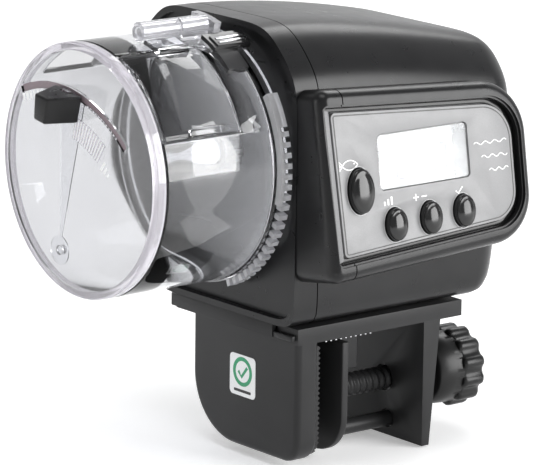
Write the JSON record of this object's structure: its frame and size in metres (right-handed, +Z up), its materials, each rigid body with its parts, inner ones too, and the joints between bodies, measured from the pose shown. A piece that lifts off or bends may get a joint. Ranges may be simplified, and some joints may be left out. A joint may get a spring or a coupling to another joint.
{
  "type": "automatic fish feeder",
  "caption": "Clamp-on automatic fish feeder: a clear rotating food drum with a filling lid and feed lever, a timer housing with display and buttons, and a screw clamp for the tank's rim.",
  "frame": {"origin": "middle of the underside of the clamp's rail, the face that rests on top of the tank's rim", "axes": "+X along the drum's axis from the drum to the housing, +Y to the back, away from the control panel, +Z up"},
  "size_m": [0.1212, 0.0947, 0.1096],
  "materials": {
    "housing_black": "satin black moulded ABS",
    "clamp_black": "satin dark grey moulded plastic",
    "knob_black": "satin black moulded plastic",
    "clear_plastic": "clear polished plastic",
    "smoked_tab": "smoked translucent plastic",
    "button_black": "glossy black plastic",
    "panel_grey": "light grey printed plate",
    "panel_silver": "silver-painted plastic",
    "display": "liquid-crystal display glass",
    "board_green": "green circuit board",
    "chip_black": "black component plastic",
    "gear_white": "off-white acetal",
    "steel": "plated steel",
    "cell_wrap": "plain wrapped cell"
  },
  "bodies": {
    "housing": {"left_shell": "housing_black", "main_shell": "housing_black", "panel_plate": "panel_grey", "panel_trim": "panel_silver", "lcd_window": "clear_plastic", "lcd_display": "display", "circuit_board": "board_green", "control_chip": "chip_black", "clock_crystal": "steel", "display_connector": "chip_black", "switch_adjust": "chip_black", "switch_feed": "chip_black", "switch_mode": "chip_black", "switch_set": "chip_black", "spindle_bush": "gear_white", "gear_plate": "housing_black", "idler_axle": "steel", "gearhead": "gear_white", "drive_motor": "steel", "home_switch": "chip_black", "switch_lever": "steel", "battery_tray": "housing_black", "contact_link": "steel", "contact_minus": "steel", "contact_plus": "steel", "battery_spring_1": "steel", "battery_spring_2": "steel", "battery_1": "cell_wrap", "battery_2": "cell_wrap", "clamp_bracket": "clamp_black", "bracket_screw_1": "steel", "bracket_screw_2": "steel"},
    "drum": {"drum_tube": "clear_plastic", "drum_base": "clear_plastic", "drum_end_cap": "clear_plastic", "door_hinge_pin": "steel", "gate_pivot_pin": "clear_plastic", "drum_lock_tab": "smoked_tab", "drum_spindle": "steel", "drum_gear": "gear_white"},
    "drum_lid": {"drum_door": "clear_plastic"},
    "feed_lever": {"feed_gate": "clear_plastic", "slider_knob": "knob_black"},
    "idler": {"idler_gear": "gear_white"},
    "pinion": {"motor_pinion": "gear_white", "motor_shaft": "steel"},
    "feed_button": {"button_feed": "button_black"},
    "mode_button": {"button_mode": "button_black"},
    "adjust_button": {"button_adjust": "button_black"},
    "set_button": {"button_set": "button_black"},
    "battery_lid": {"battery_door": "housing_black"},
    "jaw": {"jaw_plate": "clamp_black", "guide_rod": "clamp_black"},
    "screw": {"clamp_screw": "clamp_black", "clamp_knob": "clamp_black"}
  },
  "joints": [
    {"name": "drum_turn", "type": "hinge", "parent": "housing", "child": "drum", "pos_m": [-0.016, 0.012, 0.0413], "axis": [1, 0, 0], "continuous": true},
    {"name": "lid_hinge", "type": "hinge", "parent": "drum", "child": "drum_lid", "pos_m": [-0.032, 0.00615, 0.07449], "axis": [-1, 0, 0], "range_deg": [0, 100]},
    {"name": "lever_pivot", "type": "hinge", "parent": "drum", "child": "feed_lever", "pos_m": [-0.049, 0.021, 0.0203], "axis": [1, 0, 0], "range_deg": [-20, 32.5]},
    {"name": "idler_turn", "type": "hinge", "parent": "housing", "child": "idler", "pos_m": [-0.0018, 0.024, 0.0224], "axis": [1, 0, 0], "continuous": true},
    {"name": "pinion_turn", "type": "hinge", "parent": "housing", "child": "pinion", "pos_m": [-0.0018, 0.014, 0.0158], "axis": [1, 0, 0], "continuous": true},
    {"name": "feed_press", "type": "slide", "parent": "housing", "child": "feed_button", "axis": [0, 0.9877, -0.1564], "range_m": [0, 0.0008], "stiffness_N_per_m": 600},
    {"name": "mode_press", "type": "slide", "parent": "housing", "child": "mode_button", "axis": [0, 0.9877, -0.1564], "range_m": [0, 0.0008], "stiffness_N_per_m": 600},
    {"name": "adjust_press", "type": "slide", "parent": "housing", "child": "adjust_button", "axis": [0, 0.9877, -0.1564], "range_m": [0, 0.0008], "stiffness_N_per_m": 600},
    {"name": "set_press", "type": "slide", "parent": "housing", "child": "set_button", "axis": [0, 0.9877, -0.1564], "range_m": [0, 0.0008], "stiffness_N_per_m": 600},
    {"name": "battery_lid_pull", "type": "slide", "parent": "housing", "child": "battery_lid", "axis": [0, 1, 0], "range_m": [0, 0.012]},
    {"name": "jaw_slide", "type": "slide", "parent": "housing", "child": "jaw", "axis": [1, 0, 0], "range_m": [-0.00502, 0.0142]},
    {"name": "screw_turn", "type": "hinge", "parent": "jaw", "child": "screw", "pos_m": [0.024, -0.006, -0.0182], "axis": [1, 0, 0], "range_deg": [-900, 2520]}
  ],
  "couplings": [
    {"joint": "idler_turn", "follows": "drum_turn", "ratio": -1.8},
    {"joint": "pinion_turn", "follows": "drum_turn", "ratio": 3.6},
    {"joint": "jaw_slide", "follows": "screw_turn", "m_per_rad": 0.0003183}
  ]
}
